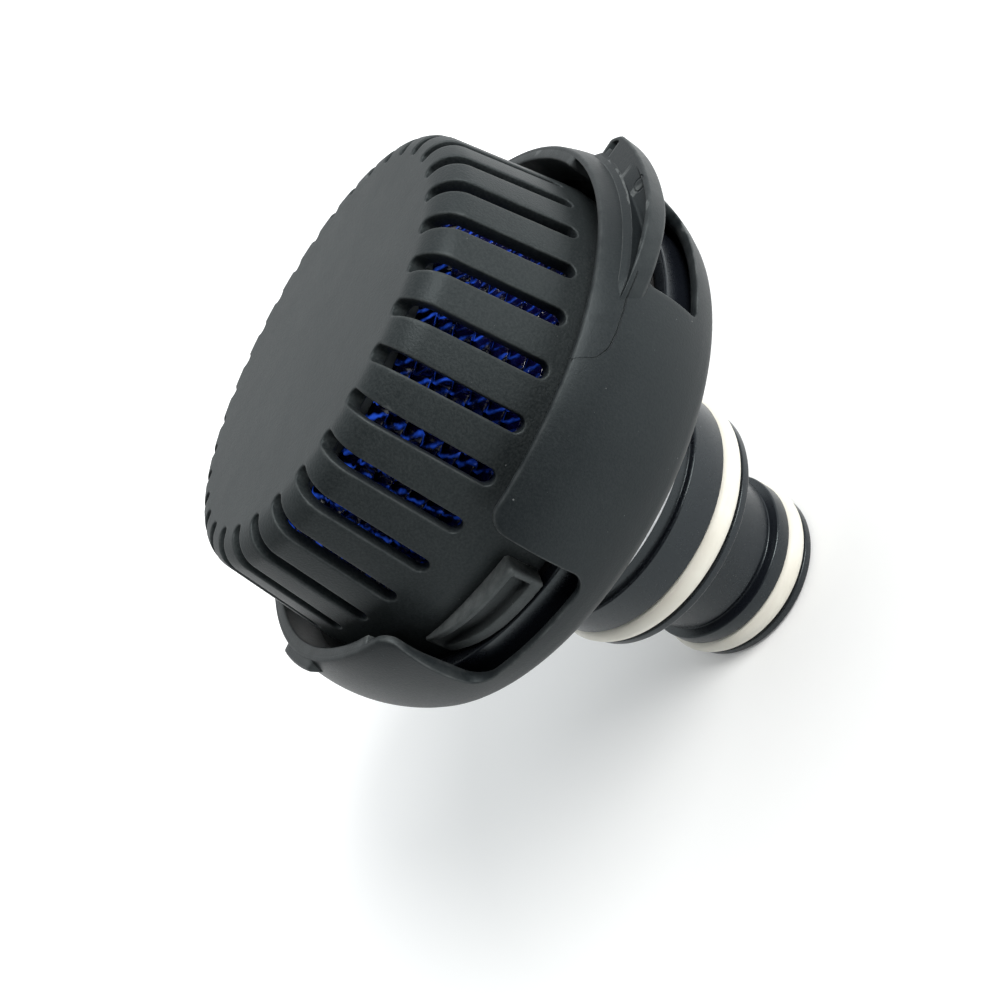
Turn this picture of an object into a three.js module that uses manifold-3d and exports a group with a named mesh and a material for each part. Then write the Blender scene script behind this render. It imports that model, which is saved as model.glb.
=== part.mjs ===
// Plug-in intake strainer for a circulation (wave maker) pump, millimetres, +Z up.
// It stands on the end of its spigot. The axis is Z and z = 0 is the spigot's end face.
import * as THREE from 'three';
import * as BufferGeometryUtils from 'three/addons/utils/BufferGeometryUtils.js';
import Module from 'manifold-3d';

const wasm = await Module();
wasm.setup();

const deg = Math.PI / 180;

// sides of the turned parts
const cageSides = 64;
const collarSides = 56;
const bodySides = 40;
const innerSides = 24;

// ---- sizes that can be set one by one ----
const boreRadius = 12;             // water way through the spigot
const spigotWall = 6.8;            // from the bore to the land of the small O-ring
const neckStep = 1.5;              // neck below the small land
const shoulderStep = 7.5;          // large land above the small one
const endFlange = 2.4;             // spigot end up to the small groove
const endChamfer = 0.8;
const smallCord = 4.8;
const bigCord = 5.0;
const cordProud = 0.9;             // how far an O-ring stands out of its land
const smallLandHeight = 3.4;       // land above the small O-ring
const neckGroove = 0.6;            // fine groove where the neck meets that land
const neckLength = 20.2;           // from the small groove to the thin flange
const thinFlange = 1.8;
const softEdge = 0.4;              // broken edge of the shoulder
const shoulderHeight = 7.6;        // large groove up to the recess
const recessHeight = 5.6;          // dark recess under the collar
const recessDepth = 1.3;
const ringSeatDepth = 1;           // groove of the retaining ring
const ringThickness = 1.6;         // retaining ring
const ringProud = 2.2;             // how far it reaches under the collar's lip
const washerThickness = 1.0;
const washerProud = 3.4;
const lipHeight = 2.4;             // collar's rear lip
const lipWidth = 6;
const bowlThickness = 3.4;         // floor of the body's cup
const cupWall = 2.6;
const cupAboveBowl = 2.5;          // where the cup's wall turns upright
const socketDepth = 11.5;          // socket of the filter core, down from the cup's floor
const collarRadius = 53;           // collar at its bulge
const bulgeProud = 2.7;            // bulge beyond the front rim
const collarWall = 2.6;
const rimWall = 0.9;
const channelStep = 0.3;           // channel inside the rim's outer radius
const lipChamfer = 1;
const collarHeight = 36.4;         // rear lip to front rim
const bulgeBelowRim = 12;
const bowlBelowRim = 24;           // where the bulge turns into the cone
const windowWidth = 26.5;
const windowBelowRim = 18.3;
const windowCorner = 3;
const bridgeHeight = 8;            // wall left above the closed window
const ledgeDepth = 2.1;            // thick part of the rim, inwards from the channel
const ledgeHeight = 7.5;
const stopDepth = 0.8;             // stops reach this far into the wall
const restStopArc = 2.5;           // stops in the channel, degrees
const lockStopArc = 4;
const earProud = 4;                // ear beyond the bulge
const earTip = 1.6;                // least height of the ear at its tapered end
const earThickness = 4;
const earBelowRim = 4;
const tabArc = 16;                 // small tab on the rim
const tabHeight = 3;
const tabProud = 2;
const tabBelowRim = 0.2;
const skirtStep = 1;               // skirt beyond the cage at the collar's rim
const cageTaper = 4.4;             // how far the side leans in by the front face
const cageFront = 21.8;            // front face above the collar's rim
const cageCorner = 5.5;
const cageWall = 2.5;
const skirtWall = 4.2;
const skirtBelowRim = 19;
const slotCount = 32;
const slotWidth = 2.7;
const slotReach = 5;               // slot's tip, inwards from the side's front edge
const slotAboveRim = -0.3;         // lower end of the slots, from the rim up
const insideSlope = 2.35;          // rise over run where the skirt's inside thins out
const lugProud = 3.6;
const lugBelowRim = 8.3;
const lugHeight = 6.4;
const lugFrame = 1;                // bar over the lug's pocket
const lugFoot = 2;                 // bar under it
const lugEnd = 2;                  // bar at each end of it, degrees
const lugPocketDepth = 1.9;
const sealCord = 2.6;
const sealAboveSkirt = 1.6;
const filterRings = 8;
const filterRingWidth = 7.5;
const filterRingHeight = 3.2;
const vDepth = 2.4;
const filterBelowFront = 4.4;      // top of the ring pack under the front face
const plateThickness = 3;
const frontPlateThickness = 1.5;
const hubDrop = 4;                 // screw's seat below the top ring
const hubThickness = 1.6;
const hubRadius = 10;
const sleeveWall = 3.4;
const sleeveOverBore = 0.8;        // sleeve's bore inside the spigot's
const finThickness = 2;
const finInset = 0.5;
const postRadius = 4.5;
const screwRadius = 1.5;
const screwLength = 10;
const screwHeadRadius = 3.6;
const screwHeadHeight = 2.2;
const driverSlot = 0.9;
const screwWasherRadius = 5.5;
const screwWasherThickness = 0.8;
const coreSealCord = 1.6;
const coreGroove = 2;
const coreGrooveDepth = 1.5;
const coreGrooveAt = 4;            // groove above the foot of the sleeve
const springWire = 2.2;
const springTurns = 3.5;

// ---- clearances ----
const runGap = 0.4;                // between parts that turn on each other
const seatGap = 0.05;              // between parts that rest on each other
const fitGap = 0.3;                // around a part that drops into a seat
const channelGap = 0.8;            // from the lugs to the collar's channel
const lugSideGap = 0.8;            // notch's half width beyond the lug's
const lockGap = 0.5;               // from a locked lug to its stop, degrees
const filterGap = 1.2;             // from the ring pack to the cage's wall
const grooveGap = 0.2;             // longer groove than its O-ring
const shankGap = 0.1;

// ---- turned positions about the axis, degrees ----
const windowAngles = [-120, -42, 60, 138];   // open notch, closed window, and the same opposite
const earStart = -17;
const earEnd = -62;
const thickRim = [[-19, 39], [161, 219]];    // ends short of the notch, so that the lugs lift past it
const notchAngles = [-120, 60];
const lugAngles = [-125, 55];      // a little off the notch, towards the thick rim
const tabAngle = 188;
const slotPhase = 2;
const ringOpening = 24;            // gap in the retaining ring
const lockTurn = 30;               // from unlocked to locked

// ---- heights that follow from them ----
const smallGroove = smallCord + grooveGap;
const bigGroove = bigCord + grooveGap;
const zSmallGroove = endFlange;
const zSmallTop = zSmallGroove + smallGroove;
const zThin = zSmallTop + neckLength;
const zBigGroove = zThin + thinFlange;
const zBigTop = zBigGroove + bigGroove;
const zShoulder = zBigTop + shoulderHeight;
const zRingSeat = zShoulder + recessHeight;
const zRingTop = zRingSeat + ringThickness;
const zWasherTop = zRingTop + washerThickness + seatGap;
const zLip = zWasherTop + seatGap;
const zLipTop = zLip + lipHeight;
const zRim = zLip + collarHeight;
const zBowl = zRim - bowlBelowRim;
const zBulge = zRim - bulgeBelowRim;
const zWindow = zRim - windowBelowRim;
const zFront = zRim + cageFront;
const zSkirt = zRim - skirtBelowRim;
const zLugTop = zRim - lugBelowRim;
const zLug = zLugTop - lugHeight;
const zCup = zLug - 2 * fitGap;
const zPlateFloor = zLipTop + runGap;
const bowlFloor = zPlateFloor + bowlThickness;
const zSocket = bowlFloor - socketDepth;
const zRingsTop = zFront - filterBelowFront;
const ringPitch = filterRingHeight + seatGap;
const zRings = zRingsTop - filterRings * ringPitch;
const zBackPlate = zRings - seatGap - plateThickness;
const zScrewSeat = zRingsTop - hubDrop;

// ---- radii that follow from them ----
const smallLandRadius = boreRadius + spigotWall;
const neckRadius = smallLandRadius - neckStep;
const bigLandRadius = smallLandRadius + shoulderStep;
const recessRadius = bigLandRadius - recessDepth;
const lipRadius = bigLandRadius + cordProud + runGap;
const coneRadius = lipRadius + lipWidth;
const rimRadius = collarRadius - bulgeProud;
const channelRadius = rimRadius - channelStep;
const ledgeRadius = channelRadius - ledgeDepth;
const earRadius = collarRadius + earProud;
const lugRadius = channelRadius - channelGap;
const skirtRadius = lugRadius - lugProud;
const wallRadius = skirtRadius + fitGap;
const skirtInner = skirtRadius - skirtWall;
const cageRimRadius = skirtRadius - skirtStep;
const cageFrontRadius = cageRimRadius - cageTaper;
const slotTipRadius = cageFrontRadius - slotReach;
const lugArc = (2 * Math.asin((windowWidth / 2 - lugSideGap) / channelRadius)) / deg;
const filterRingRadius = cageFrontRadius - cageWall - filterGap;
const filterRingBore = filterRingRadius - filterRingWidth;
const sleeveBore = boreRadius - sleeveOverBore;
const sleeveRadius = sleeveBore + sleeveWall;
const socketRadius = sleeveRadius + fitGap;
const springRadius = (sleeveRadius + filterRingBore) / 2;
const screwHoleRadius = screwRadius + shankGap;
const plateHole = screwRadius + shankGap * 7;

// ---- materials ----
function plastic(color, roughness) {
  return new THREE.MeshStandardMaterial({ color, roughness, metalness: 0 });
}

function steel() {
  return new THREE.MeshStandardMaterial({ color: 0x8d9196, roughness: 0.35, metalness: 1 });
}

const cagePlastic = plastic(0x2f3437, 0.62);
const collarPlastic = plastic(0x2a2f33, 0.55);
const bodyPlastic = plastic(0x1b1e22, 0.38);
const ivoryRubber = plastic(0xe6e3d6, 0.5);
const blackRubber = plastic(0x17181a, 0.7);
const bluePlastic = plastic(0x1c2fd0, 0.25);
const innerPlastic = plastic(0x202326, 0.5);
const springSteel = steel();

// ---- shape helpers ----

// closed profile of [radius, height] pairs turned about Z
function revolve(profile, segments) {
  let area = 0;
  profile.forEach(([r, z], i) => {
    const [r2, z2] = profile[(i + 1) % profile.length];
    area += r * z2 - r2 * z;
  });
  const ordered = area > 0 ? profile : [...profile].reverse();
  const points = ordered.map(([r, z]) => new THREE.Vector2(r, z));
  points.push(points[0].clone());
  const geometry = new THREE.LatheGeometry(points, segments);
  geometry.rotateX(Math.PI / 2);
  return weld(geometry);
}

// only positions, shared corners merged, collapsed triangles dropped
function weld(geometry) {
  const bare = geometry.index ? geometry : BufferGeometryUtils.mergeVertices(geometry);
  bare.deleteAttribute('normal');
  bare.deleteAttribute('uv');
  const merged = BufferGeometryUtils.mergeVertices(bare, 1e-4);
  const kept = [];
  const index = merged.index.array;
  for (let i = 0; i < index.length; i += 3) {
    const [a, b, c] = [index[i], index[i + 1], index[i + 2]];
    if (a !== b && b !== c && c !== a) kept.push(a, b, c);
  }
  merged.setIndex(kept);
  return merged;
}

function toSolid(geometry) {
  const merged = weld(geometry);
  const mesh = new wasm.Mesh({
    numProp: 3,
    vertProperties: new Float32Array(merged.attributes.position.array),
    triVerts: new Uint32Array(merged.index.array),
  });
  return new wasm.Manifold(mesh);
}

function toGeometry(solid) {
  const mesh = solid.getMesh();
  const geometry = new THREE.BufferGeometry();
  const positions = new Float32Array(mesh.vertProperties);
  geometry.setAttribute('position', new THREE.BufferAttribute(positions, 3));
  geometry.setIndex(new THREE.BufferAttribute(new Uint32Array(mesh.triVerts), 1));
  const merged = BufferGeometryUtils.mergeVertices(geometry, 1e-4);
  merged.computeVertexNormals();
  return merged;
}

function cutAway(solid, cutters) {
  return cutters.reduce((rest, cutter) => rest.subtract(toSolid(cutter)), solid);
}

function joinOn(solid, pieces) {
  return pieces.reduce((whole, piece) => whole.add(toSolid(piece)), solid);
}

// block between two radii and two angles
function ringSector(inner, outer, from, to, bottom, top, steps) {
  const shape = new THREE.Shape();
  for (let i = 0; i <= steps; i += 1) {
    const a = (from + ((to - from) * i) / steps) * deg;
    const [x, y] = [outer * Math.cos(a), outer * Math.sin(a)];
    if (i === 0) shape.moveTo(x, y);
    else shape.lineTo(x, y);
  }
  for (let i = steps; i >= 0; i -= 1) {
    const a = (from + ((to - from) * i) / steps) * deg;
    shape.lineTo(inner * Math.cos(a), inner * Math.sin(a));
  }
  const geometry = new THREE.ExtrudeGeometry(shape, { depth: top - bottom, bevelEnabled: false });
  geometry.translate(0, 0, bottom);
  return geometry;
}

function roundBar(radius, length, sides) {
  return new THREE.CylinderGeometry(radius, radius, length, sides);
}

function ring(crownRadius, cord, z, segments, sides) {
  const profile = [];
  for (let i = 0; i < sides; i += 1) {
    const a = (i / sides) * 2 * Math.PI;
    const r = crownRadius - cord / 2 + (cord / 2) * Math.cos(a);
    profile.push([r, z + (cord / 2) * Math.sin(a)]);
  }
  return revolve(profile, segments);
}

function arcPoints(cr, cz, radius, from, to, steps) {
  const points = [];
  for (let i = 0; i <= steps; i += 1) {
    const a = (from + ((to - from) * i) / steps) * deg;
    points.push([cr + radius * Math.cos(a), cz + radius * Math.sin(a)]);
  }
  return points;
}

function node(name, geometry, material) {
  const mesh = new THREE.Mesh(geometry, material);
  mesh.name = name;
  return mesh;
}

// ---- strainer cage ----

// side slope as an angle, and where the corner fillet leaves the flat and the side
const sideSlope = Math.atan2(cageRimRadius - cageFrontRadius, cageFront);
const cornerReach = cageCorner * Math.tan((Math.PI / 2 - sideSlope) / 2);

function sideRadius(z) {
  return cageRimRadius - (z - zRim) * Math.tan(sideSlope);
}

function cageProfile() {
  const centreR = cageFrontRadius - cornerReach;
  const centreZ = zFront - cageCorner;
  const sideAngle = sideSlope / deg;
  const corner = arcPoints(centreR, centreZ, cageCorner, sideAngle, 90, 5);
  const inner = arcPoints(centreR, centreZ, cageCorner - cageWall, 90, sideAngle, 2);
  const zMeet = zRim - (skirtRadius - cageRimRadius) / Math.tan(sideSlope);
  const zStep = zLugTop - lugFrame;
  const zThinWall = zStep + (skirtWall - cageWall) * insideSlope;
  const grooveZ = zSkirt + sealAboveSkirt;
  const grooveR = skirtRadius - sealCord + fitGap;
  return [
    [0, zFront],
    [0, zFront - cageWall],
    ...inner,
    [sideRadius(zThinWall) - cageWall, zThinWall],
    [skirtInner, zStep],
    [skirtInner, zSkirt],
    [skirtRadius, zSkirt],
    [skirtRadius, grooveZ],
    [grooveR, grooveZ],
    [grooveR, grooveZ + sealCord],
    [skirtRadius, grooveZ + sealCord],
    [skirtRadius, zMeet],
    ...corner,
  ];
}

// one slot, from its tip on the front face round the corner and down the side
function slotCutters(angle) {
  const half = slotWidth / 2;
  const over = 2;
  const depth = skirtRadius + over - (slotTipRadius + half);
  const zEnd = zRim + slotAboveRim + half;
  const slab = new THREE.BoxGeometry(depth, slotWidth, zFront + over - zEnd);
  slab.translate(slotTipRadius + half + depth / 2, 0, (zFront + over + zEnd) / 2);
  const tip = roundBar(half, cageCorner + over, 8);
  tip.rotateX(Math.PI / 2);
  tip.translate(slotTipRadius + half, 0, zFront + over - (cageCorner + over) / 2);
  const end = roundBar(half, depth, 8);
  end.rotateZ(Math.PI / 2);
  end.translate(slotTipRadius + half + depth / 2, 0, zEnd);
  return [slab, tip, end].map((cutter) => cutter.rotateZ(angle * deg));
}

// bayonet lug, a frame round a shallow pocket
function lugPiece(angle) {
  const from = angle - lugArc / 2;
  const root = skirtRadius - 0.6;
  return ringSector(root, lugRadius, from, from + lugArc, zLug, zLugTop, 6);
}

function lugPocket(angle) {
  const from = angle - lugArc / 2 + lugEnd;
  const to = angle + lugArc / 2 - lugEnd;
  const [low, high] = [zLug + lugFoot, zLugTop - lugFrame];
  return ringSector(lugRadius - lugPocketDepth, lugRadius + 2, from, to, low, high, 6);
}

function strainerCage() {
  const slots = [];
  for (let i = 0; i < slotCount; i += 1) {
    slots.push(...slotCutters(slotPhase + (i * 360) / slotCount));
  }
  let solid = toSolid(revolve(cageProfile(), cageSides));
  solid = joinOn(solid, lugAngles.map(lugPiece));
  solid = cutAway(solid, [...lugAngles.map(lugPocket), ...slots]);
  return node('strainer_cage', toGeometry(solid), cagePlastic);
}

function cageSeal() {
  const z = zSkirt + sealAboveSkirt + sealCord / 2;
  const crown = skirtRadius + fitGap / 3;
  return node('cage_seal', ring(crown, sealCord - fitGap, z, cageSides, 6), blackRubber);
}

// ---- lock collar ----

const bulgeSag = collarRadius - rimRadius;
const bulgeArc = (bulgeBelowRim ** 2 + bulgeSag ** 2) / (2 * bulgeSag);
const bulgeLow = bowlBelowRim - bulgeBelowRim;
const bowlRadius = collarRadius - bulgeArc + Math.sqrt(bulgeArc ** 2 - bulgeLow ** 2);
const coneRun = bowlRadius - coneRadius;
const coneRise = zBowl - zLip - lipChamfer;
const coneLength = Math.hypot(coneRun, coneRise);
const coneInset = (collarWall * coneLength) / coneRise;

// outer radius of the cone part of the collar at a height
function coneOuter(z) {
  return coneRadius + ((z - zLip - lipChamfer) * coneRun) / coneRise;
}

function collarProfile() {
  const centre = collarRadius - bulgeArc;
  const top = Math.asin(bulgeBelowRim / bulgeArc) / deg;
  const low = -Math.asin(bulgeLow / bulgeArc) / deg;
  const outer = arcPoints(centre, zBulge, bulgeArc, low, top, 9);
  const ease = 0.6;
  const zInner = zLipTop + ease;
  const innerFoot = coneOuter(zInner) - coneInset;
  const channelRun = channelRadius + coneInset - coneRadius;
  const zChannel = zLip + lipChamfer + (channelRun * coneRise) / coneRun;
  return [
    [lipRadius, zLip],
    [coneRadius - lipChamfer - fitGap, zLip],
    [coneRadius, zLip + lipChamfer],
    ...outer,
    [rimRadius - rimWall, zRim],
    [channelRadius, zRim - ledgeHeight],
    [channelRadius, zChannel],
    [innerFoot, zInner],
    [innerFoot - 2.5 * ease, zLipTop],
    [lipRadius, zLipTop],
  ];
}

// rounded opening through the collar's wall, flat sided, pushed in along the radius
function windowCutter(angle, top) {
  const half = windowWidth / 2;
  const c = windowCorner;
  const h = top - zWindow;
  const shape = new THREE.Shape();
  shape.moveTo(-half + c, 0);
  shape.lineTo(half - c, 0);
  shape.absarc(half - c, c, c, -Math.PI / 2, 0, false);
  shape.lineTo(half, h);
  shape.lineTo(-half, h);
  shape.lineTo(-half, c);
  shape.absarc(-half + c, c, c, Math.PI, 1.5 * Math.PI, false);
  const inside = 4;
  const depth = earRadius - ledgeRadius + 2 * inside;
  const cutter = new THREE.ExtrudeGeometry(shape, { depth, bevelEnabled: false, curveSegments: 4 });
  cutter.rotateX(Math.PI / 2);
  cutter.translate(0, ledgeRadius - inside + depth, zWindow);
  return cutter.rotateZ((angle - 90) * deg);
}

// outline of the grip ear: square at one end, tapering into the wall at the other
function earPiece() {
  const inner = rimRadius - 0.2;
  const steps = 15;
  const shape = new THREE.Shape();
  shape.moveTo(inner * Math.cos(earStart * deg), inner * Math.sin(earStart * deg));
  for (let i = 0; i <= steps; i += 1) {
    const t = i / steps;
    const a = (earStart + (earEnd - earStart) * t) * deg;
    const rise = Math.min(1, 0.72 + t * 4, Math.sin(Math.min(1, (1 - t) * 2.6) * 0.5 * Math.PI));
    const r = inner + earTip + (earRadius - inner - earTip) * rise;
    shape.lineTo(r * Math.cos(a), r * Math.sin(a));
  }
  for (let i = steps; i > 0; i -= 1) {
    const a = (earStart + ((earEnd - earStart) * i) / steps) * deg;
    shape.lineTo(inner * Math.cos(a), inner * Math.sin(a));
  }
  const geometry = new THREE.ExtrudeGeometry(shape, { depth: earThickness, bevelEnabled: false });
  geometry.translate(0, 0, zRim - earBelowRim - earThickness);
  return geometry;
}

function ledgePieces() {
  const outer = rimRadius - 0.06;
  return thickRim.map(([from, to]) =>
    ringSector(ledgeRadius, outer, from, to, zRim - ledgeHeight, zRim, 18));
}

// stops inside the channel: the lug meets one at rest and the other when locked
function stopPieces() {
  const outer = channelRadius + stopDepth;
  const top = zRim - ledgeHeight + 0.5;
  const pieces = [];
  const notchHalf = Math.asin(windowWidth / 2 / channelRadius) / deg;
  lugAngles.forEach((angle, i) => {
    const rest = notchAngles[i] + notchHalf;
    const locked = angle - lugArc / 2 - lockTurn - lockGap;
    pieces.push([rest, rest + restStopArc], [locked - lockStopArc, locked]);
  });
  return pieces.map(([from, to]) =>
    ringSector(ledgeRadius, outer, from, to, zLug, top, 2));
}

function tabPiece() {
  const [from, to] = [tabAngle - tabArc / 2, tabAngle + tabArc / 2];
  const top = zRim - tabBelowRim;
  return ringSector(rimRadius - 1.2, rimRadius + tabProud, from, to, top - tabHeight, top, 4);
}

function lockCollar() {
  let solid = toSolid(revolve(collarProfile(), collarSides));
  solid = joinOn(solid, [...ledgePieces(), ...stopPieces(), tabPiece()]);
  const cutters = windowAngles.map((angle, i) =>
    windowCutter(angle, i % 2 === 0 ? zRim + 4 : zRim - bridgeHeight));
  solid = cutAway(solid, cutters);
  solid = joinOn(solid, [earPiece()]);
  return node('lock_collar', toGeometry(solid), collarPlastic);
}

// ---- spigot body ----

function grooveFloor(land, cord) {
  return land + cordProud - cord - seatGap;
}

function bodyProfile() {
  const zNeckGroove = zSmallTop + smallLandHeight;
  const neckFillet = 1.5;
  const smallFloor = grooveFloor(smallLandRadius, smallCord);
  const bigFloor = grooveFloor(bigLandRadius, bigCord);
  const cupOuter = wallRadius + cupWall;
  const seat = recessRadius - ringSeatDepth;
  const cupInner = skirtInner - fitGap / 1.5;
  const cupLow = (z) => coneOuter(z) - coneInset - runGap * 3;
  const zCupLow = zBowl + cupAboveBowl;
  return [
    [boreRadius, 0],
    [smallLandRadius - endChamfer, 0],
    [smallLandRadius, endChamfer],
    [smallLandRadius, zSmallGroove],
    [smallFloor, zSmallGroove],
    [smallFloor, zSmallTop],
    [smallLandRadius, zSmallTop],
    [smallLandRadius, zNeckGroove],
    [neckRadius - neckGroove, zNeckGroove + neckGroove / 2],
    [neckRadius - neckGroove, zNeckGroove + neckGroove * 2],
    [neckRadius, zNeckGroove + neckGroove * 2.5],
    [neckRadius, zThin - neckFillet],
    [neckRadius + neckFillet, zThin],
    [bigLandRadius - softEdge, zThin],
    [bigLandRadius, zThin + softEdge],
    [bigLandRadius, zBigGroove],
    [bigFloor, zBigGroove],
    [bigFloor, zBigTop],
    [bigLandRadius, zBigTop],
    [bigLandRadius, zShoulder - softEdge],
    [bigLandRadius - softEdge, zShoulder],
    [recessRadius, zShoulder],
    [recessRadius, zRingSeat],
    [seat, zRingSeat],
    [seat, zRingTop + seatGap],
    [bigLandRadius, zRingTop + seatGap],
    [bigLandRadius, zPlateFloor],
    [cupLow(zPlateFloor), zPlateFloor],
    [cupLow(zBowl - 1), zBowl - 1],
    [cupOuter, zCupLow],
    [cupOuter, zCup],
    [wallRadius, zCup],
    [wallRadius, zSkirt - seatGap],
    [cupInner, zSkirt - seatGap],
    [cupInner, zSkirt - 3.5],
    [cupLow(zPlateFloor) - 1, bowlFloor],
    [socketRadius, bowlFloor],
    [socketRadius, zSocket],
    [boreRadius, zSocket],
  ];
}

function spigotBody() {
  return node('spigot_body', revolve(bodyProfile(), bodySides), bodyPlastic);
}

function largeRing() {
  const z = zBigGroove + bigGroove / 2;
  return node('large_o_ring', ring(bigLandRadius + cordProud, bigCord, z, bodySides, 8), ivoryRubber);
}

function smallRing() {
  const z = zSmallGroove + smallGroove / 2;
  return node('small_o_ring', ring(smallLandRadius + cordProud, smallCord, z, bodySides, 8), ivoryRubber);
}

function retainingRing() {
  const inner = recessRadius - ringSeatDepth + fitGap / 2;
  const outer = lipRadius + ringProud;
  const [from, to] = [ringOpening / 2, 360 - ringOpening / 2];
  const geometry = ringSector(inner, outer, from, to, zRingSeat + seatGap, zRingTop, 32);
  return node('retaining_ring', weld(geometry), springSteel);
}

function thrustWasher() {
  const [inner, outer] = [bigLandRadius + fitGap, lipRadius + washerProud];
  const [low, high] = [zRingTop + seatGap * 2, zWasherTop];
  const profile = [[inner, low], [outer, low], [outer, high], [inner, high]];
  return node('thrust_washer', revolve(profile, bodySides), innerPlastic);
}

// ---- filter cartridge ----

function filterRing(i) {
  const low = zRings + i * ringPitch;
  const high = low + filterRingHeight;
  const root = filterRingRadius - vDepth;
  const profile = [
    [filterRingBore, low],
    [root, low],
    [filterRingRadius, (low + high) / 2],
    [root, high],
    [filterRingBore, high],
  ];
  return node(`filter_ring_${i + 1}`, revolve(profile, innerSides), bluePlastic);
}

function backPlate() {
  const low = zBackPlate;
  const high = zBackPlate + plateThickness;
  const inner = sleeveRadius + fitGap;
  const profile = [[inner, low], [filterRingRadius, low], [filterRingRadius, high], [inner, high]];
  return node('back_plate', revolve(profile, innerSides), innerPlastic);
}

// sleeve that drops into the body, with a post and six fins that centre the rings
function coreSpine() {
  const foot = zSocket + seatGap;
  const zSleeve = zRings + 2;
  const zFins = zBackPlate + 1;
  const zFinTop = zScrewSeat - 1;
  const sealZ = foot + coreGrooveAt;
  const grooveR = sleeveRadius - coreGrooveDepth;
  const holeDepth = screwLength - 1;
  const sleeve = toSolid(revolve([
    [sleeveBore, foot],
    [sleeveRadius, foot],
    [sleeveRadius, sealZ],
    [grooveR, sealZ],
    [grooveR, sealZ + coreGroove],
    [sleeveRadius, sealZ + coreGroove],
    [sleeveRadius, zSleeve],
    [sleeveBore, zSleeve],
  ], innerSides));
  const post = revolve([
    [0, zFins],
    [postRadius, zFins],
    [postRadius, zScrewSeat],
    [screwHoleRadius, zScrewSeat],
    [screwHoleRadius, zScrewSeat - holeDepth],
    [0, zScrewSeat - holeDepth],
  ], 12);
  const fins = [];
  for (let i = 0; i < 3; i += 1) {
    const low = new THREE.BoxGeometry(2 * (sleeveRadius - finInset), finThickness, zSleeve - zFins);
    low.translate(0, 0, (zSleeve + zFins) / 2);
    const zWide = zRings + seatGap;
    const finWidth = 2 * (filterRingBore - fitGap * 2);
    const high = new THREE.BoxGeometry(finWidth, finThickness, zFinTop - zWide);
    high.translate(0, 0, (zFinTop + zWide) / 2);
    fins.push(low.rotateZ(i * 60 * deg), high.rotateZ(i * 60 * deg));
  }
  const screwHole = roundBar(screwHoleRadius, 2 * holeDepth, 12);
  screwHole.rotateX(Math.PI / 2);
  screwHole.translate(0, 0, zScrewSeat);
  const solid = cutAway(joinOn(sleeve, [post, ...fins]), [screwHole]);
  return node('core_spine', toGeometry(solid), innerPlastic);
}

function coreSeal() {
  const z = zSocket + seatGap + coreGrooveAt + coreGroove / 2;
  const crown = socketRadius - seatGap * 2;
  return node('core_seal', ring(crown, coreSealCord, z, innerSides, 6), blackRubber);
}

function frontPlate() {
  const low = zRingsTop + seatGap;
  const high = low + frontPlateThickness;
  const hub = zScrewSeat + seatGap;
  const rim = filterRingRadius - vDepth - 2 * fitGap;
  const profile = [
    [plateHole, hub],
    [hubRadius + hubThickness, hub],
    [hubRadius + hubThickness, low],
    [rim, low],
    [rim, high],
    [hubRadius, high],
    [hubRadius, hub + hubThickness],
    [plateHole, hub + hubThickness],
  ];
  return node('front_plate', revolve(profile, innerSides), innerPlastic);
}

function coreWasher() {
  const low = zScrewSeat + hubThickness + seatGap * 2;
  const high = low + screwWasherThickness;
  const outer = screwWasherRadius;
  const profile = [[plateHole, low], [outer, low], [outer, high], [plateHole, high]];
  return node('core_washer', revolve(profile, 16), springSteel);
}

function coreScrew() {
  const seat = zScrewSeat + hubThickness + screwWasherThickness + seatGap * 3;
  const top = seat + screwHeadHeight;
  const profile = [
    [0, seat - screwLength],
    [screwRadius, seat - screwLength],
    [screwRadius, seat],
    [screwHeadRadius, seat],
    [screwHeadRadius, top],
    [0, top],
  ];
  const slot = new THREE.BoxGeometry(3 * screwHeadRadius, driverSlot, screwHeadHeight);
  slot.translate(0, 0, top);
  const solid = cutAway(toSolid(revolve(profile, 16)), [slot]);
  return node('core_screw', toGeometry(solid), springSteel);
}

// spring that keeps the rings pressed together
function packSpring() {
  const low = bowlFloor + springWire / 2 + seatGap;
  const high = zBackPlate - springWire / 2 - seatGap;
  const points = [];
  const steps = 12 * springTurns;
  for (let i = 0; i <= steps; i += 1) {
    const t = i / steps;
    const a = t * springTurns * 2 * Math.PI;
    const [x, y] = [springRadius * Math.cos(a), springRadius * Math.sin(a)];
    points.push(new THREE.Vector3(x, y, low + (high - low) * t));
  }
  const wire = new THREE.Shape();
  wire.absarc(0, 0, springWire / 2, 0, 2 * Math.PI, false);
  const path = new THREE.CatmullRomCurve3(points);
  const sweep = { steps, extrudePath: path, curveSegments: 3, bevelEnabled: false };
  const geometry = new THREE.ExtrudeGeometry(wire, sweep);
  return node('pack_spring', weld(geometry), springSteel);
}

// ---- assembly ----
const strainer = new THREE.Group();
strainer.add(spigotBody(), largeRing(), smallRing(), retainingRing(), thrustWasher());
strainer.add(lockCollar(), strainerCage(), cageSeal());
strainer.add(coreSpine(), coreSeal(), backPlate(), packSpring());
for (let i = 0; i < filterRings; i += 1) strainer.add(filterRing(i));
strainer.add(frontPlate(), coreWasher(), coreScrew());

export default strainer;
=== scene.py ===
import bpy
import bmesh
import numpy as np
from mathutils import Matrix, Vector


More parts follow.
